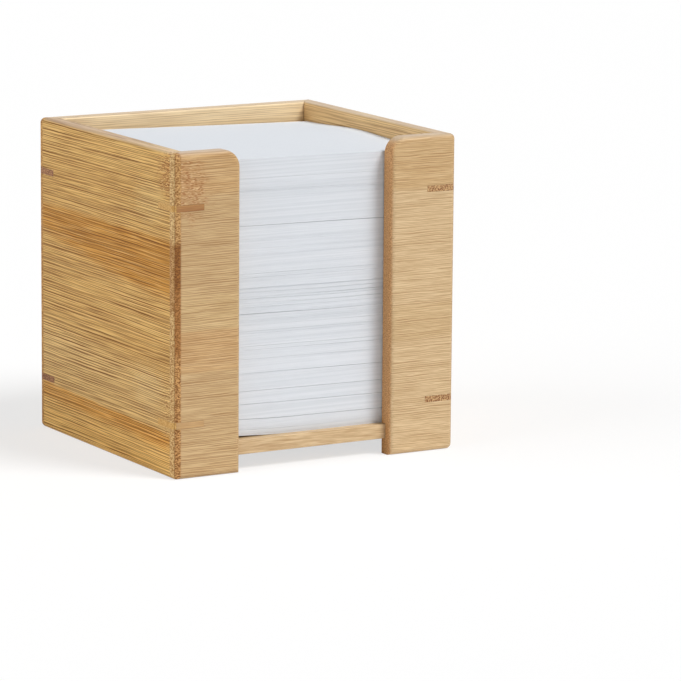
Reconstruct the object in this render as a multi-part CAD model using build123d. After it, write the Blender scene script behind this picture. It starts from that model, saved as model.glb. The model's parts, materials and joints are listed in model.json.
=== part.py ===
from build123d import *
import os
from math import atan, degrees, hypot, sin

# An open memo box of bamboo boards with a stack of loose note sheets in it.
# All lengths are in millimetres. X runs to the right, Y to the back, Z up.
# The origin is on the desk, under the middle of the box.

# Note paper: square sheets in a loose stack. One more single sheet lies on the top wad.
SHEET_SIDE = 85.0
SHEET_THICKNESS = 0.1
SHEET_AIR = 0.004              # air that one sheet traps under it
WAD_SHEETS = (57, 51, 44, 58, 84, 109, 82, 97, 107, 110, 107)  # bottom wad first
WAD_GAP = 0.05                 # air left between two wads
STACK_RISE_LEFT = 1.9          # how much higher the left edge of the top sheet lies
STACK_RISE_FRONT = 0.8         # how much higher its front edge lies
WAD_SHIFT = 0.1                # furthest that a wad is pushed from its neighbours
WAD_TURN = 0.1                 # furthest that a wad is turned, in degrees
PAPER_PLAY = 0.5               # paper to the right wall and to the front strips

# Box: the compartment is the sheet with room around it.
FINGER_ROOM = 12.0             # compartment wider than the sheet by this much
DEPTH_ROOM = 4.0               # compartment deeper than the sheet by this much
RIM_ABOVE_PAPER = 5.2          # wall above the middle of the stack
WALL = 6.0                     # thickness of every upright board
STRIP_WIDTH = 25.3             # each front strip, over its outer edge
STRIP_CORNER_RADIUS = 6.0      # top corner of a strip, beside the slot
EDGE_RADIUS = 1.8              # sanded outer edges
INNER_EASE = 0.8               # eased inner edges

# Base board, held in a groove that runs round inside the walls.
BASE_THICKNESS = 5.0
BASE_LIFT = 5.5                # desk to the underside of the base
GROOVE_DEPTH = 3.0
GROOVE_PLAY = 0.2              # groove higher than the base is thick
BASE_END_GAP = 0.3             # base edge to the bottom of the groove
BASE_EASE = 0.3

# Keys: flat triangles glued into slots across the mitred corners.
KEY_THICKNESS = 2.2
KEY_INSET = 18.4               # middle of a key from the top or the bottom of the box
KEY_COVER = 0.35               # leg of a key stops this far short of twice the wall
KEY_GLUE = 0.05                # glue line on each face of a key

# Worked out from the sizes above.
SINGLE_SHEETS = 1
SHEET_SPACING = SHEET_THICKNESS + SHEET_AIR
STACK_HEIGHT = (sum(WAD_SHEETS) + SINGLE_SHEETS) * SHEET_SPACING
BASE_TOP = BASE_LIFT + BASE_THICKNESS
INNER_WIDTH = SHEET_SIDE + FINGER_ROOM
INNER_DEPTH = SHEET_SIDE + DEPTH_ROOM
WIDTH = INNER_WIDTH + 2 * WALL
DEPTH = INNER_DEPTH + 2 * WALL
HEIGHT = BASE_TOP + STACK_HEIGHT + RIM_ABOVE_PAPER
KEY_LEG = 2 * (WALL - KEY_COVER)
STACK_X = INNER_WIDTH / 2 - PAPER_PLAY - SHEET_SIDE / 2
STACK_Y = -INNER_DEPTH / 2 + PAPER_PLAY + SHEET_SIDE / 2

TOUCH = 0.01                   # how closely a place is matched when an edge is picked out
UP = (Align.CENTER, Align.CENTER, Align.MIN)


def rounded_block():
    """The outside of the box as one block, with every edge sanded round."""
    block = Box(WIDTH, DEPTH, HEIGHT, align=UP)
    return fillet(block.edges(), EDGE_RADIUS)


def upright_prism(corners):
    """A prism over the plan outline given by its corners, a wall taller than the box each way."""
    outline = make_face(Polyline(*corners, close=True))
    return Pos(0, 0, -WALL) * extrude(outline, HEIGHT + 2 * WALL)


def board_prism(half_length, half_across):
    """A board at the -X side, mitred at both ends, that reaches a wall past the outside."""
    outer = half_across + WALL
    inner = half_across - WALL
    reach = half_length + WALL
    stop = half_length - WALL
    return upright_prism([(-outer, -reach), (-inner, -stop), (-inner, stop), (-outer, reach)])


def key_prism(side_x, side_y, middle, grow=0.0):
    """A flat triangle across one corner of the box; grow widens it on every face."""
    corner_x = side_x * WIDTH / 2
    corner_y = side_y * DEPTH / 2
    leg = KEY_LEG + grow * hypot(1, 1)
    corners = [
        (corner_x + side_x * WALL, corner_y + side_y * WALL),
        (corner_x - side_x * (leg + WALL), corner_y + side_y * WALL),
        (corner_x + side_x * WALL, corner_y - side_y * (leg + WALL)),
    ]
    outline = make_face(Polyline(*corners, close=True))
    thickness = KEY_THICKNESS + 2 * grow
    return Pos(0, 0, middle - thickness / 2) * extrude(outline, thickness)


def corner_places():
    """Name, side in X, side in Y and height of every key."""
    for front_back, side_y in (("front", -1), ("back", 1)):
        for left_right, side_x in (("left", -1), ("right", 1)):
            for level, middle in (("upper", HEIGHT - KEY_INSET), ("lower", KEY_INSET)):
                yield f"key_{front_back}_{left_right}_{level}", side_x, side_y, middle


def cut_joints(board):
    """Cut the groove for the base and the slots for the keys out of a board."""
    groove = Box(
        INNER_WIDTH + 2 * GROOVE_DEPTH,
        INNER_DEPTH + 2 * GROOVE_DEPTH,
        BASE_THICKNESS + GROOVE_PLAY,
        align=UP,
    )
    board -= Pos(0, 0, BASE_LIFT) * groove
    for _, side_x, side_y, middle in corner_places():
        board -= key_prism(side_x, side_y, middle, KEY_GLUE)
    return board


def edges_at(edges, axis, place):
    """Those of the edges whose middle lies at one place along an axis."""
    return edges.filter_by_position(axis, place - TOUCH, place + TOUCH)


def ease_rim(board, face_axis, place):
    """Ease the top inner edge of a board, which lies at a place along an axis."""
    top_edges = edges_at(board.edges(), Axis.Z, HEIGHT)
    return fillet(edges_at(top_edges, face_axis, place), INNER_EASE)


def side_panel():
    """The left wall, mitred at the front and the back."""
    board = rounded_block() & board_prism(DEPTH / 2, WIDTH / 2)
    board = ease_rim(board, Axis.X, -INNER_WIDTH / 2)
    return cut_joints(board)


def back_panel():
    """The back wall, mitred at both ends."""
    board = rounded_block() & (Rot(0, 0, -90) * board_prism(WIDTH / 2, DEPTH / 2))
    board = ease_rim(board, Axis.Y, INNER_DEPTH / 2)
    return cut_joints(board)


def front_strip():
    """The left half of the front: a strip with a round top corner beside the slot."""
    outer_x = -WIDTH / 2
    slot_x = outer_x + STRIP_WIDTH
    front_y = -DEPTH / 2
    strip = Pos(outer_x, front_y, 0) * Box(STRIP_WIDTH, WALL, HEIGHT, align=(Align.MIN,) * 3)
    along_y = strip.edges().filter_by(Axis.Y)
    top_corner = along_y.sort_by(Axis.X)[-2:].sort_by(Axis.Z)[-1]
    strip = fillet(top_corner, STRIP_CORNER_RADIUS)
    front_edges = edges_at(strip.edges(), Axis.Y, front_y)
    outer_ends = edges_at(strip.edges().filter_by(Axis.Y), Axis.X, outer_x)
    back_edges = edges_at(strip.edges(), Axis.Y, front_y + WALL)
    inner_edges = back_edges - edges_at(back_edges, Axis.X, outer_x) - edges_at(back_edges, Axis.Z, 0)
    strip = fillet(inner_edges, INNER_EASE)
    strip = fillet(nearest_edges(strip, front_edges + outer_ends), EDGE_RADIUS)
    mitre = upright_prism([
        (outer_x - WALL, front_y - WALL),
        (outer_x + 2 * WALL, front_y + 2 * WALL),
        (slot_x + WALL, front_y + 2 * WALL),
        (slot_x + WALL, front_y - WALL),
    ])
    return cut_joints(strip & mitre)


def nearest_edges(solid, wanted):
    """The edges of a solid that lie where the wanted edges lay before a cut."""
    found = ShapeList()
    for old in wanted:
        found.append(min(solid.edges(), key=lambda edge: (edge @ 0.5 - old @ 0.5).length))
    return found


def base_panel():
    """The floor of the compartment, whose edges sit in the groove."""
    tongue = GROOVE_DEPTH - BASE_END_GAP
    board = Box(INNER_WIDTH + 2 * tongue, INNER_DEPTH + 2 * tongue, BASE_THICKNESS, align=UP)
    return Pos(0, 0, BASE_LIFT) * fillet(board.edges(), BASE_EASE)


def sheet_plane(height):
    """The plane in which the sheets lie at a height above the base."""
    share = height / STACK_HEIGHT
    roll = degrees(atan(STACK_RISE_LEFT / SHEET_SIDE)) * share
    pitch = -degrees(atan(STACK_RISE_FRONT / SHEET_SIDE)) * share
    return Plane(Location((STACK_X, STACK_Y, BASE_TOP + height), (pitch, roll, 0)))


def paper_block(number, low, high):
    """Sheets between two heights above the base, pushed and turned a little."""
    shift_x = WAD_SHIFT * sin(2.4 * number)
    shift_y = WAD_SHIFT * sin(1.7 * number + 1.0)
    turn = WAD_TURN * sin(2.1 * number + 0.6)
    column = Box(SHEET_SIDE, SHEET_SIDE, HEIGHT * 2)
    column = Pos(STACK_X + shift_x, STACK_Y + shift_y, 0) * Rot(0, 0, turn) * column
    column = split(column, bisect_by=sheet_plane(low), keep=Keep.TOP)
    return split(column, bisect_by=sheet_plane(high), keep=Keep.BOTTOM)


def paper_wads():
    """Name and solid of every wad, from the base up, and of the single top sheet."""
    low = 0.0
    for number, sheets in enumerate(WAD_SHEETS, start=1):
        high = low + sheets * SHEET_SPACING
        yield f"paper_wad_{number:02d}", paper_block(number, low, high - WAD_GAP)
        low = high
    yield "top_sheet", paper_block(len(WAD_SHEETS) + 1, low, low + SHEET_THICKNESS)


def keys():
    """Name and solid of every key, sanded flush with the box."""
    block = rounded_block()
    for name, side_x, side_y, middle in corner_places():
        yield name, block & key_prism(side_x, side_y, middle)


def all_parts():
    """Every piece of the memo box by name."""
    left = side_panel()
    strip = front_strip()
    parts = {
        "left_panel": left,
        "right_panel": mirror(left, about=Plane.YZ),
        "back_panel": back_panel(),
        "front_left_strip": strip,
        "front_right_strip": mirror(strip, about=Plane.YZ),
        "base_panel": base_panel(),
    }
    parts.update(keys())
    parts.update(paper_wads())
    return parts


os.makedirs("parts", exist_ok=True)
for node, shape in all_parts().items():
    export_step(shape, f"parts/{node}.step")
print(f"box {WIDTH} x {DEPTH} x {HEIGHT}, key leg {KEY_LEG}, stack {STACK_HEIGHT}")
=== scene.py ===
import json
import math
from dataclasses import dataclass

import bpy
import numpy as np
from mathutils import Matrix, Vector


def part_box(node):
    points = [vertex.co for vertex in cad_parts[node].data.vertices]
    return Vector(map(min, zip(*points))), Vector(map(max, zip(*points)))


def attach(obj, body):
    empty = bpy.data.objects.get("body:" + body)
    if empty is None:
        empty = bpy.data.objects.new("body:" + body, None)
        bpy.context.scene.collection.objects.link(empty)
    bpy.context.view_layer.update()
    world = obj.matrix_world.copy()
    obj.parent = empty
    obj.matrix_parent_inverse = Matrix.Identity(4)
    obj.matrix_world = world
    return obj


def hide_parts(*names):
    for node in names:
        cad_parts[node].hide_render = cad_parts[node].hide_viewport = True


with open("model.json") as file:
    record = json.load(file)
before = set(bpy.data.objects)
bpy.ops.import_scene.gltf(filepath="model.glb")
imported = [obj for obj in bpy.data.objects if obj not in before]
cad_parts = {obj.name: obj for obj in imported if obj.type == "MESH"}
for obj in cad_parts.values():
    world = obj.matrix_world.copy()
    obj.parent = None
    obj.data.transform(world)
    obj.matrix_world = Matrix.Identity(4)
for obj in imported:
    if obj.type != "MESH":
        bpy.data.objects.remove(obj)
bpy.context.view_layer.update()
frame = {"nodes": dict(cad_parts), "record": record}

# An open memo box of laminated bamboo with a stack of loose note sheets.
# The scene is in metres; MM turns millimetres into metres.
MM = 0.001

# Places of the box, read from the frame, in millimetres.
HALF_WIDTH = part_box("right_panel")[1].x / MM
HALF_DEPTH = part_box("back_panel")[1].y / MM
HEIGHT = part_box("back_panel")[1].z / MM

# Sheets of paper, in millimetres.
SHEET_SPACING = 0.104
WAD_GAP = 0.05               # air between two wads of the CAD model
SHEET_FILL = 0.98            # share of its room that a sheet fills, the rest is air
GRID_STEPS = (16, 10)        # faces of a sheet to the right and to the back
WADS_IN_LINE = 0.85          # how far the wads are pushed back into line: 1 is all the way
BUNDLE_SHEETS = (4, 26)      # a bundle has more sheets than the first, and at most the second
BUNDLE_SHIFT = 0.03          # usual distance of a bundle of sheets out of line with its wad
SHEET_SHIFT = 0.015          # usual distance of a sheet out of line with its bundle
STRAY_SHIFT = 0.15           # how far a stray sheet may be out of line
STRAY_SHARE = 0.02           # share of the sheets that stray
LOOSE_ZONE = (46.0, 62.0)    # heights between which the sheets are less tightly packed
LOOSE_MORE = 1.4             # how much further they are out of line there
LOOSE_FILL = 0.965           # share of its room that a sheet fills there
PAPER_SEED = 11

# Gaps in the stack: height at its middle, then how far it opens at the left and at the right.
PARTINGS = (
    (12.6, 0.03, 0.0), (16.43, 0.12, 0.12), (21.73, 0.07, 0.09), (26.31, 0.10, 0.10), (31.3, 0.02, 0.03),
    (32.34, 0.06, 0.12), (40.2, 0.04, 0.07), (41.5, 0.05, 0.04), (46.7, 0.04, 0.04), (48.7, 0.01, 0.05),
    (50.3, 0.02, 0.02), (52.41, 0.11, 0.05), (54.6, 0.03, 0.05), (56.0, 0.03, 0.08), (57.4, 0.05, 0.05),
    (58.1, 0.02, 0.10), (59.6, 0.05, 0.07), (60.94, 0.0, 0.01), (65.8, 0.01, 0.0), (71.03, 0.01, 0.03),
    (77.0, 0.03, 0.01), (82.16, 0.11, 0.15), (91.7, 0.01, 0.02), (93.60, 0.03, 0.03), (98.2, 0.04, 0.03),
    (103.3, 0.01, 0.01),
)
GAP_OPENS = (0.25, 0.8)      # shares of the width between which a gap goes from its left to its right

# How the sheets bend away from the CAD's flat ones, in millimetres.
BULGE = 1.35                 # the right edge of the upper sheets rises
BULGE_PLACE = (0.58, 0.24)   # where along it that is highest, and how far it spreads, as shares
DROOP = 0.1                  # their back right corner sinks
TIP = 0.6                    # their left edge rises this much from front to back
LEAN = 0.9                   # the lower sheets sink this much from left to right
SETTLE = 0.35                # how much lower these lie
CURL = 1.1                   # the front left corner of the lowest sheets rises
WAVE = 0.2                   # the front of the loosely packed sheets waves
WAVE_HEIGHTS = (56.0, 5.5)   # where it waves most, and how far that spreads

# Wood.
HAIR_SHARE = 0.15            # half the thickness of a dark hairline, as a share of their pitch
HAIR_CROWD = 1.8             # how unevenly the hairlines are spaced
FINE_PITCH = 0.62            # pitch of the fine hairlines, as a share of that of the long ones
FINE_WIDTH = 0.7             # and their thickness
FINE_LENGTH = 0.6            # and their length
KNOT_TINT = 0.35             # how strongly a knot tints the strips
KNOT_TANGLE = 2.5            # how far it throws the fibres about, in mm
END_BLUR = 2.0               # blur between two stretches of cut grain, in mm
RIM_TURN = (0.5, 0.9)        # how far a face turns up where the rim, with its painted sheen, begins and where it is full
RIM_LINES = 0.35             # how clearly dark lines show on the rim
GLUE_EDGES = (0.22, 0.06)    # distance to the middle of a mitre where glue begins and is full, in mm
GLUE_STRENGTH = 0.6

AXES = {"x": 0, "y": 1, "z": 2}
MIX_FIRST = 6                # sockets of a colour mix: its two colours and its result
MIX_SECOND = 7
MIX_RESULT = 2


# Materials -------------------------------------------------------------------------------------

def srgb(red, green, blue):
    """A colour given as 0 to 255, as Blender wants it."""
    parts = (part / 255 for part in (red, green, blue))
    linear = (part / 12.92 if part < 0.04045 else ((part + 0.055) / 1.055) ** 2.4 for part in parts)
    return (*linear, 1.0)


class Graph:
    """Adds nodes to a material and joins them. An input is a socket or a plain value."""

    def __init__(self, name):
        self.material = bpy.data.materials.new(name)
        self.material.use_nodes = True
        self.tree = self.material.node_tree
        self.tree.nodes.clear()

    def add(self, kind, inputs, **settings):
        node = self.tree.nodes.new(kind)
        for setting, value in settings.items():
            setattr(node, setting, value)
        for key, value in inputs.items():
            if isinstance(value, bpy.types.NodeSocket):
                self.tree.links.new(value, node.inputs[key])
            else:
                node.inputs[key].default_value = value
        return node

    def math(self, operation, first, second=0.0, third=0.0):
        inputs = {0: first, 1: second, 2: third}
        return self.add("ShaderNodeMath", inputs, operation=operation).outputs[0]

    def plus(self, *terms):
        total = terms[0]
        for term in terms[1:]:
            total = self.math("ADD", total, term)
        return total

    def times(self, *factors):
        product = factors[0]
        for factor in factors[1:]:
            product = self.math("MULTIPLY", product, factor)
        return product

    def smooth(self, value, low, high, at_low=0.0, at_high=1.0):
        """at_low at low, at_high at high, and a smooth change between; low may be the larger."""
        inputs = {0: value, 1: low, 2: high, 3: at_low, 4: at_high}
        if isinstance(low, float) and isinstance(high, float) and low > high:
            inputs = {0: value, 1: high, 2: low, 3: at_high, 4: at_low}
        return self.add("ShaderNodeMapRange", inputs, interpolation_type="SMOOTHSTEP").outputs[0]

    def vector(self, x, y, z):
        return self.add("ShaderNodeCombineXYZ", {0: x, 1: y, 2: z}).outputs[0]

    def noise(self, place, detail=2.0, roughness=0.5):
        inputs = {"Vector": place, "Scale": 1.0, "Detail": detail, "Roughness": roughness}
        return self.add("ShaderNodeTexNoise", inputs).outputs[0]

    def cells(self, place):
        """Distance to the middle of the nearest cell."""
        return self.add("ShaderNodeTexVoronoi", {"Vector": place, "Scale": 1.0}).outputs["Distance"]

    def mix(self, share, first, second):
        inputs = {0: share, MIX_FIRST: first, MIX_SECOND: second}
        return self.add("ShaderNodeMix", inputs, data_type="RGBA").outputs[MIX_RESULT]

    def ramp(self, value, stops):
        """A colour for each place along a 0 to 1 value."""
        node = self.add("ShaderNodeValToRGB", {0: value})
        elements = node.color_ramp.elements
        elements[0].position, elements[0].color = stops[0]
        elements[1].position, elements[1].color = stops[-1]
        for position, colour in stops[1:-1]:
            elements.new(position).color = colour
        return node.outputs[0]

    def finish(self, colour, roughness, relief, depth, gloss=0.3):
        """The surface, from its colour, roughness, relief of a depth in metres, and gloss."""
        bump = self.add("ShaderNodeBump", {"Height": relief, "Distance": depth, "Strength": 1.0})
        surface = self.add("ShaderNodeBsdfPrincipled", {
            "Base Color": colour, "Roughness": roughness, "Normal": bump.outputs[0],
            "IOR": 1.47, "Specular IOR Level": gloss,
        })
        output = self.add("ShaderNodeOutputMaterial", {"Surface": surface.outputs[0]})
        output.is_active_output = True
        return self.material


def places(graph, seed):
    """Three sockets each: object coordinates in mm, the normal, and the first shifted by a seed."""
    source = graph.add("ShaderNodeTexCoord", {})
    scaled = graph.add("ShaderNodeVectorMath", {0: source.outputs["Object"], 3: 1 / MM}, operation="SCALE")
    parts = graph.add("ShaderNodeSeparateXYZ", {0: scaled.outputs[0]}).outputs
    facing = graph.add("ShaderNodeSeparateXYZ", {0: source.outputs["Normal"]}).outputs
    shifted = [graph.plus(part, seed * step) for part, step in zip(parts, (37.0, 53.0, 71.0))]
    return list(parts), list(facing), shifted


def strip_stops(tones):
    """Ramp stops for strips stacked from 0 up: (start, blur of that edge, colour) each."""
    stops = [(0.0, tones[0][2])]
    for (_, _, below), (start, blur, colour) in zip(tones, tones[1:]):
        stops.append(((start - blur / 2) / HEIGHT, below))
        stops.append(((start + blur / 2) / HEIGHT, colour))
    return stops


def lean_stops(leans):
    """Ramp stops for (height, climb of the strips along the grain) pairs, with 0.5 as level."""
    return [(height / HEIGHT, (climb + 0.5,) * 3 + (1.0,)) for height, climb in leans]


@dataclass
class Wood:
    """How a board of laminated bamboo looks. All places and lengths are in millimetres."""

    grain: str                   # axis of the fibres
    across: str                  # axis along which the strips are stacked
    deep: str                    # axis of the thickness
    seed: float                  # shifts the textures, so that no two boards are alike
    tones: tuple                 # strips from 0 up: (start, blur of that edge, colour)
    streak: tuple                # the darkest wood
    light: tuple                 # the palest wood
    contrast: float = 0.2        # how clearly the fibres show
    hairs: float = 0.6           # how clearly the long dark hairlines show
    fine: float = 0.3            # and the fine ones between them
    dashes: float = 0.1          # and the short dark bundles
    clouds: float = 0.15         # and the slow changes of tone
    pitch: float = 1.25          # how far apart the hairlines lie
    length: float = 35.0         # how long they are
    wave: float = 0.3            # how far the fibres wander over a long way
    ripple: float = 0.06         # and over a short way
    leans: tuple = ((0.0, 0.0), (110.0, 0.0))  # (height, climb of the strips along the grain)
    knots: tuple = ()            # (along, across, reach along, reach across, strength of dots, tint)
    knot_dark: tuple = None      # colour of the dots, or the streak's
    ends: tuple = None           # cut grain at the low end, from 0 up: (start, pale, dark)
    far_ends: tuple = None       # the same at the high end, where it differs
    end_turn: tuple = (0.30, 0.62)  # how far a rounding turns where the cut grain begins and is full
    far_turn: tuple = None       # the same at the high end, where it differs
    end_reach: float = 0.0       # the cut grain also shows this close to the box's outside
    rim: tuple = None            # painted sheen: a paler, greyer tone on top that stands in for the shine of light from above
    gloss: float = 0.3           # strength of the shine


class BambooGraph(Graph):
    """The nodes of laminated bamboo. Scales of textures are in changes per millimetre."""

    def __init__(self, name, wood):
        super().__init__(name)
        self.wood = wood
        self.parts, self.facing, shifted = places(self, wood.seed)
        self.run = self.parts[AXES[wood.grain]]
        self.rise = self.parts[AXES[wood.across]]
        self.share_up = self.math("DIVIDE", self.rise, HEIGHT)
        self.shifted_run = shifted[AXES[wood.grain]]
        self.shifted_rise = shifted[AXES[wood.across]]
        self.shifted_deep = shifted[AXES[wood.deep]]
        self.quick = self.noise(self.stretched(0.11, 0.35, self.shifted_rise), 1.0)

    def stretched(self, along, over, level):
        """A place for a texture with one scale along the grain and another across it."""
        return self.vector(
            self.times(self.shifted_run, along),
            self.times(level, over),
            self.times(self.shifted_deep, over),
        )

    def centred(self, value):
        """A 0 to 1 value, shifted to lie round zero."""
        return self.plus(value, -0.5)

    def knots(self):
        """How strongly knots act at a place, and a (share, colour) tint for each."""
        ragged = self.noise(self.stretched(0.30, 0.45, self.shifted_rise))
        knot = 0.0
        tints = []
        for place, height, reach_along, reach_across, strength, colour in self.wood.knots:
            along = self.math("DIVIDE", self.plus(self.run, -place), reach_along)
            over = self.math("DIVIDE", self.plus(self.rise, -height), reach_across)
            far = self.math("SQRT", self.plus(self.times(along, along), self.times(over, over)))
            spot = self.smooth(self.plus(far, self.times(ragged, 1.4)), 1.9, 1.0)
            knot = self.math("MAXIMUM", knot, self.times(spot, strength))
            tints.append((self.times(spot, KNOT_TINT), colour))
        return knot, tints

    def fibre_level(self, knot):
        """The height across the grain, along fibres that wander and that knots break up."""
        slow = self.noise(self.stretched(0.012, 0.03, self.shifted_rise), 1.0)
        tangle = self.noise(self.stretched(0.40, 0.5, self.shifted_rise), 1.0)
        return self.plus(
            self.shifted_rise,
            self.times(self.centred(slow), 4.0 * self.wood.wave),
            self.times(self.centred(self.quick), 4.0 * self.wood.ripple),
            self.times(self.centred(tangle), knot, KNOT_TANGLE),
        )

    def strip_tone(self):
        """The strips, one tone each, which climb along the grain and have ragged edges."""
        lean = self.ramp(self.share_up, lean_stops(self.wood.leans))
        climb = self.times(self.centred(lean), self.plus(self.run, HALF_DEPTH))
        level = self.plus(self.rise, self.times(climb, -1.0), self.times(self.centred(self.quick), 1.2))
        return self.ramp(self.math("DIVIDE", level, HEIGHT), strip_stops(self.wood.tones))

    def lighter_and_darker(self, tone, value, spread, strength):
        """A tone that turns pale where a value is high and dark where it is low."""
        pale = self.smooth(value, 0.5, 0.5 + spread, 0.0, strength)
        tone = self.mix(pale, tone, self.wood.light)
        dark = self.smooth(value, 0.5, 0.5 - spread, 0.0, strength)
        return self.mix(dark, tone, self.wood.streak)

    def hairlines(self, level, crowd, spacing, half_width, reach):
        """Lines along the grain at a spacing that varies, drawn for about a reach each, all in mm."""
        row = self.plus(self.times(level, 1 / spacing), self.times(crowd, HAIR_CROWD))
        off = self.math("ABSOLUTE", self.centred(self.math("FRACT", row)))
        line = self.smooth(off, 1.4 * half_width / spacing, 0.4 * half_width / spacing)
        drawn = self.noise(self.stretched(1 / reach, 0.9 / spacing, level), 1.0)
        return self.times(line, self.smooth(drawn, 0.32, 0.52))

    def dark_lines(self, level):
        """How dark the hairlines and the short bundles of vessels make the wood."""
        wood = self.wood
        often = self.smooth(self.noise(self.stretched(0.025, 0.3, level), 2.0), 0.35, 0.60, 0.55, 1.0)
        crowd = self.noise(self.stretched(0.2 / wood.length, 0.28 / wood.pitch, level), 1.0)
        half_width = HAIR_SHARE * wood.pitch
        hair = self.hairlines(level, crowd, wood.pitch, half_width, wood.length)
        hair = self.times(hair, often, wood.hairs)
        fine_hair = self.hairlines(
            level, crowd, FINE_PITCH * wood.pitch, FINE_WIDTH * half_width, FINE_LENGTH * wood.length)
        fine_hair = self.times(fine_hair, wood.fine)
        dash = self.smooth(self.cells(self.stretched(0.05, 1.0 / wood.pitch, level)), 0.34, 0.14)
        dash = self.times(dash, often, wood.dashes)
        lines = self.math("MAXIMUM", self.math("MAXIMUM", hair, dash), fine_hair)
        return self.times(lines, self.smooth(self.facing[2], *RIM_TURN, 1.0, RIM_LINES))

    def add_dots(self, tone, knot):
        """Pale and dark dots in the knots."""
        pale = self.cells(self.stretched(0.55, 1.3, self.plus(self.shifted_rise, 31.0)))
        tone = self.mix(self.times(self.smooth(pale, 0.36, 0.16), knot, 0.8), tone, self.wood.light)
        dark = self.cells(self.stretched(0.60, 1.5, self.shifted_rise))
        knot_dark = self.wood.knot_dark or self.wood.streak
        return self.mix(self.times(self.smooth(dark, 0.48, 0.24), knot, 0.85), tone, knot_dark)

    def half_run(self):
        """Half the size of the box along the grain."""
        return HALF_DEPTH if self.wood.grain == "y" else HALF_WIDTH

    def cut_tone(self):
        """Colour of the cut ends of the fibres, full of pores."""
        pores = self.smooth(self.cells(self.stretched(0.9, 1.6, self.shifted_rise)), 0.45, 0.18)
        grit = self.noise(self.stretched(1.2, 2.2, self.shifted_rise), 2.0)
        grit = self.smooth(grit, 0.38, 0.62, 0.0, 0.8)
        near_ends = self.wood.ends or ((0, self.wood.light, self.wood.streak),)
        end_tones = []
        for stretches in (near_ends, self.wood.far_ends or near_ends):
            pale_stops = strip_stops([(start, END_BLUR, pale) for start, pale, _ in stretches])
            dark_stops = strip_stops([(start, END_BLUR, dark) for start, _, dark in stretches])
            pale = self.ramp(self.share_up, pale_stops)
            dark = self.ramp(self.share_up, dark_stops)
            end_tones.append(self.mix(pores, self.mix(grit, pale, dark), dark))
        high_end = self.plus(self.facing[AXES[self.wood.grain]], self.times(self.run, 1 / self.half_run()))
        return self.mix(self.smooth(high_end, -0.02, 0.02), *end_tones)

    def cut_share(self):
        """Where the cut ends show: near the outside, and where a rounding turns towards it."""
        edge = self.half_run() - self.wood.end_reach
        outer = self.smooth(self.math("ABSOLUTE", self.run), edge - 0.4, edge + 0.4)
        turn = self.facing[AXES[self.wood.grain]]
        turned_low = self.smooth(self.times(turn, -1.0), *self.wood.end_turn)
        turned_high = self.smooth(turn, *(self.wood.far_turn or self.wood.end_turn))
        return self.math("MAXIMUM", outer, self.math("MAXIMUM", turned_low, turned_high))

    def glue_share(self):
        """Where the glue of the mitres shows."""
        off_mitre = self.plus(
            HALF_WIDTH - HALF_DEPTH,
            self.times(self.math("ABSOLUTE", self.parts[0]), -1.0),
            self.math("ABSOLUTE", self.parts[1]),
        )
        return self.smooth(self.math("ABSOLUTE", off_mitre), *GLUE_EDGES, 0.0, GLUE_STRENGTH)


def bamboo(name, wood):
    """The material of a board of laminated bamboo."""
    graph = BambooGraph(name, wood)
    knot, tints = graph.knots()
    level = graph.fibre_level(knot)
    tone = graph.strip_tone()
    for share, colour in tints:
        tone = graph.mix(share, tone, colour)
    # Painted sheen: the top faces take the rim tone, which stands in for the pale shine of light from above
    # on them.
    if wood.rim:
        tone = graph.mix(graph.smooth(graph.facing[2], *RIM_TURN), tone, wood.rim)
    cloud = graph.noise(graph.stretched(0.018, 0.14, level), 3.0)
    tone = graph.lighter_and_darker(tone, cloud, 0.22, wood.clouds)
    fibre = graph.noise(graph.stretched(1.4 / wood.length, 2.6 / wood.pitch, level), 2.0, 0.6)
    tone = graph.lighter_and_darker(tone, fibre, 0.12, wood.contrast)
    lines = graph.dark_lines(level)
    tone = graph.add_dots(graph.mix(lines, tone, wood.streak), knot)
    end = graph.cut_share()
    tone = graph.mix(end, tone, graph.cut_tone())
    glue = graph.glue_share()
    tone = graph.mix(glue, tone, GLUE_BROWN)
    relief = graph.plus(graph.times(lines, -1.0), graph.times(fibre, 1.5), graph.times(glue, -1.5))
    roughness = graph.plus(0.42, graph.times(lines, 0.12), graph.times(end, 0.12))
    return graph.finish(tone, roughness, relief, 0.02 * MM, wood.gloss)


PAPER_FACE = (srgb(219, 223, 229), srgb(223, 227, 232))  # its dull and its pale tone
PAPER_SIDE = (srgb(217, 221, 226), srgb(227, 230, 235))


def note_paper(name):
    """Plain white note paper, with the faint marks that cutting leaves on the edges."""
    graph = Graph(name)
    parts, facing, _ = places(graph, 0.0)
    edge = graph.smooth(graph.math("ABSOLUTE", facing[2]), 0.7, 0.3)
    scaled = (graph.times(part, scale) for part, scale in zip(parts, (0.012, 0.012, 1.7)))
    layers = graph.noise(graph.vector(*scaled), 4.0, 0.75)
    fibres = graph.noise(graph.vector(*(graph.times(part, 1.6) for part in parts)), 3.0)
    face = graph.mix(graph.smooth(fibres, 0.3, 0.7), *PAPER_FACE)
    side = graph.mix(graph.smooth(layers, 0.36, 0.64), *PAPER_SIDE)
    roughness = graph.smooth(fibres, 0.3, 0.7, 0.78, 0.9)
    return graph.finish(graph.mix(edge, face, side), roughness, fibres, 0.006 * MM)


# Paper -----------------------------------------------------------------------------------------

def wad_corners(node):
    """Place in plan, lower and upper height of each corner of a wad, in metres.

    The corners run counter-clockwise from the front left.
    """
    points = np.array([vertex.co for vertex in frame["nodes"][node].data.vertices])
    middle = points.mean(axis=0)
    corners = []
    for side_x, side_y in ((-1, -1), (1, -1), (1, 1), (-1, 1)):
        on_side_x = side_x * (points[:, 0] - middle[0]) > 0
        on_side_y = side_y * (points[:, 1] - middle[1]) > 0
        here = points[on_side_x & on_side_y]
        corners.append((*here[:, :2].mean(axis=0), here[:, 2].min(), here[:, 2].max()))
    return np.array(corners)


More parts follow.
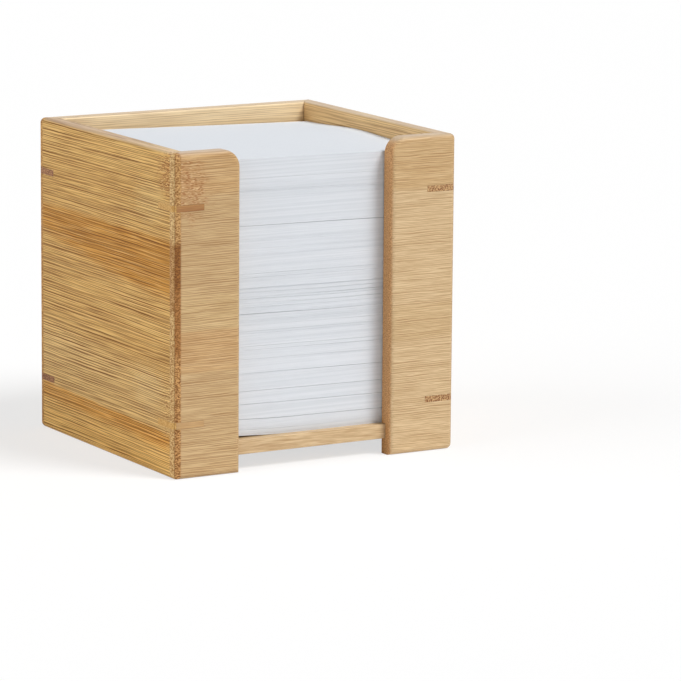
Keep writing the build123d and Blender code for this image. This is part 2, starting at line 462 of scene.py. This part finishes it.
def over_sheet(corners, u, v):
    """Values at the corners spread over a sheet; u runs to the right and v to the back, 0 to 1."""
    front_left, front_right, back_right, back_left = corners
    return ((1 - u) * (1 - v) * front_left + u * (1 - v) * front_right
            + u * v * back_right + (1 - u) * v * back_left)


def smoothstep(low, high, value):
    """0 at low, 1 at high and a smooth rise between; low may be the larger one."""
    share = np.clip((value - low) / (high - low), 0, 1)
    return share * share * (3 - 2 * share)


def hump(value, middle, spread):
    """1 at the middle, fading to both sides."""
    return np.exp(-((value - middle) / spread) ** 2)


def sheet_bend(u, v, height):
    """How far the sheets lie off the CAD's flat ones, in metres, at a height in metres."""
    share = (height - STACK_LOW) / (STACK_HIGH - STACK_LOW)
    off_base = smoothstep(0.0, 0.05, share)
    near_top = share ** 4
    bulge = BULGE * smoothstep(0.50, 1.0, u) * hump(v, *BULGE_PLACE) * near_top
    droop = -DROOP * smoothstep(0.6, 1.0, u) * smoothstep(0.7, 1.0, v) * near_top
    tip = TIP * smoothstep(0.6, 0.0, u) * (v - 0.6) * near_top
    lean = -LEAN * (u - 0.45) * off_base * smoothstep(0.5, 0.25, share)
    settle = -SETTLE * off_base * smoothstep(0.65, 0.3, share)
    curl = CURL * smoothstep(0.34, 0.0, u) * smoothstep(0.6, 0.0, v) * smoothstep(0.16, 0.0, share)
    wave = WAVE * np.sin(7.5 * u + 0.6) * smoothstep(0.4, 0.0, v) * hump(height / MM, *WAVE_HEIGHTS)
    return (bulge + droop + tip + lean + settle + curl + wave) * MM


def grid_faces():
    """u and v of a grid over a sheet, its quads, and the numbers of the points round its rim."""
    columns, rows = GRID_STEPS
    wide = columns + 1
    back = rows * wide
    u = np.tile(np.arange(wide) / columns, rows + 1)
    v = np.repeat(np.arange(rows + 1) / rows, wide)
    starts = [row * wide + column for row in range(rows) for column in range(columns)]
    quads = [(start, start + 1, start + wide + 1, start + wide) for start in starts]
    rim = [
        *range(columns),
        *range(columns, back + columns, wide),
        *range(back + columns, back, -1),
        *range(back, 0, -wide),
    ]
    return u, v, quads, rim


def add_sheet(vertices, faces, place, lower, upper, quads, rim):
    """One closed sheet: a lower and an upper face over the plan places, and its cut edges."""
    start = len(vertices)
    count = len(place)
    vertices.extend(np.column_stack((place, lower)).tolist())
    vertices.extend(np.column_stack((place, upper)).tolist())
    for quad in quads:
        faces.append([start + corner for corner in reversed(quad)])
        faces.append([start + count + corner for corner in quad])
    for here, there in zip(rim, rim[1:] + rim[:1]):
        faces.append([start + here, start + there, start + count + there, start + count + here])


def gaps_in(sheets, bottom, top):
    """The gaps below the sheets of a wad and above its last one, in metres.

    Each gap has a width at the left and one at the right.
    """
    gaps = np.zeros((sheets + 1, 2))
    for height, left, right in PARTINGS:
        place = round((height * MM - bottom) / (top - bottom) * sheets)
        if 0 < place <= sheets:
            gaps[place] += (left * MM, right * MM)
    return gaps


def gap_over(gaps, opens):
    """What some gaps add up to over a sheet, where opens is 0 at the left and 1 at the right."""
    left, right = gaps.sum(axis=0)
    return left * (1 - opens) + right * opens


def is_loose(number, sheets, bottom, top):
    """Whether a sheet of a wad lies between the heights of the loosely packed ones."""
    height = (bottom + (top - bottom) * number / sheets) / MM
    return LOOSE_ZONE[0] < height < LOOSE_ZONE[1]


def sheet_shifts(loose_sheets, chance):
    """How far each sheet of a wad is out of line in plan, in metres.

    loose_sheets says for each of them whether it is loosely packed.
    """
    shifts = []
    bundle_left = 0
    for loose in loose_sheets:
        spread = LOOSE_MORE if loose else 1.0
        if bundle_left == 0:
            bundle_left = int(chance.integers(*BUNDLE_SHEETS) / spread) + 1
            bundle = chance.normal(0, BUNDLE_SHIFT * spread, 2)
        bundle_left -= 1
        sheet = chance.normal(0, SHEET_SHIFT * spread, 2)
        if chance.random() < STRAY_SHARE * spread:
            sheet = sheet + chance.uniform(-STRAY_SHIFT, STRAY_SHIFT, 2)
        shifts.append((bundle + sheet) * MM)
    return shifts


def wad_mesh(node, chance):
    """The separate sheets of a wad, in the room of its CAD node."""
    corners = wad_corners(node)
    plan = WADS_IN_LINE * stack_plan + (1 - WADS_IN_LINE) * corners[:, :2]
    low = corners[:, 2]
    high = corners[:, 3]
    if node != "top_sheet":
        high = high + WAD_GAP * MM
    bottom, top = float(low.mean()), float(high.mean())
    sheets = max(1, round((top - bottom) / (SHEET_SPACING * MM)))
    loose_sheets = [is_loose(number, sheets, bottom, top) for number in range(sheets)]
    shifts = sheet_shifts(loose_sheets, chance)
    gaps = gaps_in(sheets, bottom, top)

    u, v, quads, rim = grid_faces()
    opens = smoothstep(*GAP_OPENS, u)
    floor = over_sheet(low, u, v)
    room = (over_sheet(high, u, v) - floor - gap_over(gaps, opens)) / sheets
    place = np.column_stack([over_sheet(plan[:, axis], u, v) for axis in (0, 1)])
    vertices, faces = [], []
    for number, (loose, shift) in enumerate(zip(loose_sheets, shifts)):
        lower = floor + gap_over(gaps[:number + 1], opens) + room * number
        upper = lower + room * (LOOSE_FILL if loose else SHEET_FILL)
        lower = lower + sheet_bend(u, v, lower)
        upper = upper + sheet_bend(u, v, upper)
        add_sheet(vertices, faces, place + shift, lower, upper, quads, rim)
    mesh = bpy.data.meshes.new(node + "_sheets")
    mesh.from_pydata(vertices, [], faces)
    return mesh


def paper_piece(node, material, chance):
    """A wad, or the top sheet, as a piece that replaces its CAD node and moves with its body."""
    mesh = wad_mesh(node, chance)
    mesh.materials.append(material)
    piece = bpy.data.objects.new(node + "_sheets", mesh)
    bpy.context.scene.collection.objects.link(piece)
    bodies = frame["record"]["behaviour"]["bodies"]
    body = next(name for name, members in bodies.items() if node in members)
    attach(piece, body)
    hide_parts(node)


paper_nodes = sorted(node for node in frame["nodes"] if node.startswith("paper_wad")) + ["top_sheet"]
STACK_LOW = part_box(paper_nodes[0])[0].z
STACK_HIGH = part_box("top_sheet")[1].z
stack_plan = np.mean([wad_corners(node)[:, :2] for node in paper_nodes], axis=0)
paper_material = note_paper("white_note_paper")
chance = np.random.default_rng(PAPER_SEED)
for paper_node in paper_nodes:
    paper_piece(paper_node, paper_material, chance)


# Boards ----------------------------------------------------------------------------------------

TAN = srgb(223, 178, 103)
TAN_TOP = srgb(229, 184, 108)
TAN_PALE = srgb(228, 189, 122)
TAN_LIGHT = srgb(247, 215, 143)
TAN_STREAK = srgb(106, 54, 8)
BAND = srgb(208, 148, 60)
ORANGE = srgb(223, 163, 78)
LOW_BROWN = srgb(242, 195, 115)
INNER_STREAK = srgb(136, 84, 32)
INNER_TOP = srgb(231, 196, 142)
FRONT = srgb(204, 173, 127)
FRONT_DIM = srgb(205, 168, 118)
FRONT_WARM = srgb(207, 169, 119)
FRONT_PALE = srgb(212, 182, 133)
FRONT_LIGHT = srgb(228, 201, 158)
FRONT_STREAK = srgb(143, 100, 55)
CREAM = srgb(220, 192, 150)
CREAM_DIM = srgb(214, 185, 141)
CREAM_WARM = srgb(211, 178, 131)
CREAM_LIGHT = srgb(237, 211, 169)
CREAM_STREAK = srgb(158, 117, 70)
RED_BROWN = srgb(184, 118, 62)
DOT_BROWN = srgb(146, 82, 34)
GLUE_BROWN = srgb(118, 78, 42)

# Each rim tone is a painted sheen on the top faces, standing in for the pale shine of light from above.
WOODS = {
    "left_panel": Wood(
        "y", "z", "x", 1.0,
        tones=((0, 0, LOW_BROWN), (9.5, 3, ORANGE), (15.0, 0.6, TAN_PALE), (34, 8, TAN),
               (60.0, 3, BAND), (80.5, 1.2, TAN), (104, 6, TAN_TOP)),
        streak=TAN_STREAK, light=TAN_LIGHT, contrast=0.26, hairs=1.0, fine=0.7, pitch=0.98, wave=0.35,
        leans=((0.0, 0.022), (20.0, 0.022), (56.0, 0.05), (72.0, 0.12), (80.0, 0.0), (110.0, -0.02)),
        knots=((-47.0, 103.0, 9.0, 10.0, 0.8, RED_BROWN),
               (-34.0, 92.0, 14.0, 9.0, 0.0, srgb(232, 204, 140)),
               (-32.0, 28.0, 13.0, 9.0, 0.0, srgb(230, 202, 148)),
               (-48.0, 24.0, 7.0, 14.0, 0.5, TAN_PALE)),
        knot_dark=DOT_BROWN,
        ends=((0, srgb(222, 188, 132), srgb(160, 114, 64)), (57, srgb(200, 158, 106), srgb(144, 98, 52)),
              (80, srgb(226, 194, 138), srgb(164, 120, 72))),
        far_ends=((0, srgb(206, 160, 100), srgb(150, 104, 56)),),
        end_reach=3.0, rim=srgb(201, 172, 138), gloss=0.12,
    ),
    "right_panel": Wood(
        "y", "z", "x", 2.0,
        tones=((0, 0, TAN), (22, 1, TAN_PALE), (46, 1, TAN), (70, 1, BAND), (92, 1, INNER_TOP)),
        streak=INNER_STREAK, light=TAN_LIGHT, hairs=0.65, fine=0.4, wave=0.35,
        leans=((0.0, 0.02), (110.0, 0.01)), rim=srgb(200, 176, 146),
    ),
    "back_panel": Wood(
        "x", "z", "y", 3.0,
        # Painted light: the band from 78 mm up is paler than the wood, to make up for the shade on the
        # inside of the box.
        tones=((0, 0, FRONT_PALE), (26, 1, FRONT), (50, 1, CREAM_DIM), (78, 1, srgb(255, 230, 187))),
        streak=CREAM_STREAK, light=srgb(255, 232, 190), contrast=0.25, hairs=0.4, pitch=1.1,
        rim=srgb(210, 186, 152),
    ),
    "front_left_strip": Wood(
        "x", "z", "y", 4.0,
        tones=((0, 0, FRONT), (36, 1, FRONT_WARM), (50, 1, FRONT_PALE), (62, 2, FRONT), (96, 2, FRONT_DIM)),
        streak=FRONT_STREAK, light=FRONT_LIGHT, contrast=0.24, hairs=0.8, fine=0.6, clouds=0.12,
        pitch=0.72, length=18.0, ripple=0.14,
        knots=((-50.0, 98.0, 9.0, 11.0, 0.7, RED_BROWN),), knot_dark=DOT_BROWN,
        ends=((0, srgb(206, 156, 96), srgb(118, 72, 30)), (42, srgb(178, 124, 68), srgb(124, 78, 34)),
              (64, srgb(156, 102, 48), srgb(108, 64, 24)), (80, srgb(206, 162, 104), srgb(136, 90, 44))),
        far_ends=((0, FRONT_PALE, FRONT_STREAK),),
        end_turn=(0.5, 0.9), end_reach=2.6, rim=srgb(196, 170, 142),
    ),
    "front_right_strip": Wood(
        "x", "z", "y", 5.0,
        tones=((0, 0, CREAM), (40, 1, CREAM_DIM), (52, 1, CREAM), (92, 2, CREAM_WARM)),
        streak=CREAM_STREAK, light=CREAM_LIGHT, contrast=0.22, hairs=0.78, fine=0.6, clouds=0.12,
        pitch=0.72, length=14.0, ripple=0.16,
        ends=((0, srgb(210, 161, 108), srgb(166, 118, 72)),),
        # The cut grain at the right end is darker than at the left: partly its own end grain, partly
        # painted shade on that side's rounding.
        far_ends=((0, srgb(166, 118, 70), srgb(112, 74, 40)),),
        end_turn=(0.45, 0.95), far_turn=(0.4, 0.9), end_reach=0.4, rim=srgb(200, 176, 146),
    ),
    "base_panel": Wood(
        "x", "y", "z", 6.0,
        tones=((0, 0, srgb(212, 183, 142)), (60, 2, srgb(214, 186, 146))),
        streak=CREAM_STREAK, light=CREAM_LIGHT, contrast=0.3, hairs=0.4,
        pitch=0.8, length=14.0, wave=0.2, ripple=0.1,
    ),
}


def dress(node, material):
    """Give a CAD node a new material."""
    node_object = frame["nodes"][node]
    node_object.data.materials.clear()
    node_object.data.materials.append(material)


for board, wood in WOODS.items():
    dress(board, bamboo("bamboo_" + board, wood))


KEY_BROWN = srgb(170, 121, 76)
KEY_STREAK = srgb(118, 70, 38)
FAINT_BROWN = srgb(203, 166, 118)
FAINT_STREAK = srgb(148, 106, 62)
LONG_ENDS = (srgb(214, 172, 104), srgb(184, 136, 70))  # pale and dark
CUT_ENDS = (srgb(184, 132, 88), srgb(96, 54, 30))
CROSS_ENDS = (srgb(208, 170, 120), srgb(124, 74, 44))


def key_bamboo(name, grain, across, deep, seed, cut_tones, tone=KEY_BROWN, streak=KEY_STREAK):
    """Dark bamboo for a key across a mitre; cut_tones are the pale and the dark of its cut grain."""
    pale, dark = cut_tones
    return bamboo(name, Wood(
        grain, across, deep, seed, tones=((0, 0, tone),), streak=streak, light=pale,
        dashes=0.3, clouds=0.3, pitch=0.7, length=8.0, wave=0.1, ripple=0.1, ends=((0, pale, dark),),
    ))


key_long = key_bamboo("bamboo_key_long_grain", "x", "z", "y", 7.0, LONG_ENDS)
key_faint = key_bamboo("bamboo_key_faint", "x", "z", "y", 7.5, LONG_ENDS, FAINT_BROWN, FAINT_STREAK)
key_cut = key_bamboo("bamboo_key_cut_grain", "x", "z", "y", 8.0, CUT_ENDS)
key_cross = key_bamboo("bamboo_key_cross_grain", "y", "z", "x", 9.0, CROSS_ENDS)
dress("key_front_left_upper", key_long)
dress("key_front_left_lower", key_faint)
for key_level in ("upper", "lower"):
    dress("key_back_left_" + key_level, key_cut)
    dress("key_front_right_" + key_level, key_cross)
    dress("key_back_right_" + key_level, key_cross)


# Floor, light and camera -----------------------------------------------------------------------

FLOOR_SIZE = 12.0            # in metres
FLOOR_GLOW = 0.66            # share of the floor's white, seen by the camera, that no shadow dims


def white_floor():
    """A pale floor that stays white behind the object and keeps its soft shadow."""
    graph = Graph("pale_floor")
    source = graph.add("ShaderNodeTexCoord", {})
    cloud = graph.add("ShaderNodeTexNoise", {"Vector": source.outputs["Object"], "Scale": 3.0})
    tone = graph.mix(cloud.outputs[0], srgb(253, 253, 253), srgb(255, 255, 255))
    matt = graph.add("ShaderNodeBsdfDiffuse", {"Color": tone})
    glow = graph.add("ShaderNodeEmission", {"Color": (1.0, 1.0, 1.0, 1.0), "Strength": 1.0})
    seen = graph.add("ShaderNodeLightPath", {}).outputs["Is Camera Ray"]
    share = graph.times(seen, FLOOR_GLOW)
    shown = graph.add("ShaderNodeMixShader", {0: share, 1: matt.outputs[0], 2: glow.outputs[0]})
    graph.add("ShaderNodeOutputMaterial", {"Surface": shown.outputs[0]})
    half = FLOOR_SIZE / 2
    mesh = bpy.data.meshes.new("floor")
    corners = [(-half, -half, 0), (half, -half, 0), (half, half, 0), (-half, half, 0)]
    mesh.from_pydata(corners, [], [(0, 1, 2, 3)])
    mesh.materials.append(graph.material)
    floor = bpy.data.objects.new("floor", mesh)
    bpy.context.scene.collection.objects.link(floor)


def sun(name, towards, strength, softness):
    """A soft lamp. towards points from the object to it, and softness is its angle in degrees."""
    data = bpy.data.lights.new(name, "SUN")
    data.energy = strength
    data.angle = math.radians(softness)
    lamp = bpy.data.objects.new(name, data)
    lamp.rotation_mode = "QUATERNION"
    lamp.rotation_quaternion = Vector(towards).to_track_quat("Z", "Y")
    bpy.context.scene.collection.objects.link(lamp)


def white_world(strength):
    """Even white light all round, and a white background for the camera and in the gloss."""
    world = bpy.data.worlds.new("studio")
    world.use_nodes = True
    nodes, links = world.node_tree.nodes, world.node_tree.links
    nodes.clear()
    even = nodes.new("ShaderNodeBackground")
    even.inputs["Strength"].default_value = strength
    even.inputs["Color"].default_value = (1.0, 1.0, 1.0, 1.0)
    backdrop = nodes.new("ShaderNodeBackground")
    backdrop.inputs["Color"].default_value = (1.0, 1.0, 1.0, 1.0)
    path = nodes.new("ShaderNodeLightPath")
    seen = path.outputs["Is Camera Ray"]
    for ray in ("Is Glossy Ray", "Is Transmission Ray"):
        either = nodes.new("ShaderNodeMath")
        either.operation = "MAXIMUM"
        links.new(seen, either.inputs[0])
        links.new(path.outputs[ray], either.inputs[1])
        seen = either.outputs[0]
    mix = nodes.new("ShaderNodeMixShader")
    output = nodes.new("ShaderNodeOutputWorld")
    links.new(seen, mix.inputs[0])
    links.new(even.outputs[0], mix.inputs[1])
    links.new(backdrop.outputs[0], mix.inputs[2])
    links.new(mix.outputs[0], output.inputs["Surface"])
    bpy.context.scene.world = world


# The camera stands where the photograph was taken from, in millimetres and degrees.
CAMERA_PLACE = (-714.5, -1298.4, 315.8)
CAMERA_TURN = 30.117         # from the -Y direction towards the left of the box
CAMERA_DOWN = 10.745
CAMERA_ROLL = 0.455
CAMERA_LENS = 228.75
SENSOR_WIDTH = 36.0


def photo_camera():
    """The camera at the photograph's viewing angle."""
    data = bpy.data.cameras.new("camera")
    data.lens = CAMERA_LENS
    data.sensor_width = SENSOR_WIDTH
    data.clip_start = 0.05
    data.clip_end = 50.0
    turn, down, roll = (math.radians(angle) for angle in (CAMERA_TURN, CAMERA_DOWN, CAMERA_ROLL))
    ahead = Vector((math.sin(turn) * math.cos(down), math.cos(turn) * math.cos(down), -math.sin(down)))
    level = Vector((math.cos(turn), -math.sin(turn), 0))
    upward = level.cross(ahead)
    right = math.cos(roll) * level + math.sin(roll) * upward
    up = -math.sin(roll) * level + math.cos(roll) * upward
    camera = bpy.data.objects.new("camera", data)
    camera.matrix_world = Matrix.LocRotScale(
        Vector(CAMERA_PLACE) * MM, Matrix((right, up, -ahead)).transposed(), None)
    bpy.context.scene.collection.objects.link(camera)
    bpy.context.scene.camera = camera


white_floor()
white_world(strength=0.22)
sun("key_light", towards=(0.46, -0.64, 1.0), strength=2.5, softness=24.0)
sun("fill_light", towards=(-1.0, 0.10, 0.50), strength=1.10, softness=50.0)
photo_camera()
bpy.context.scene.view_settings.view_transform = "Standard"
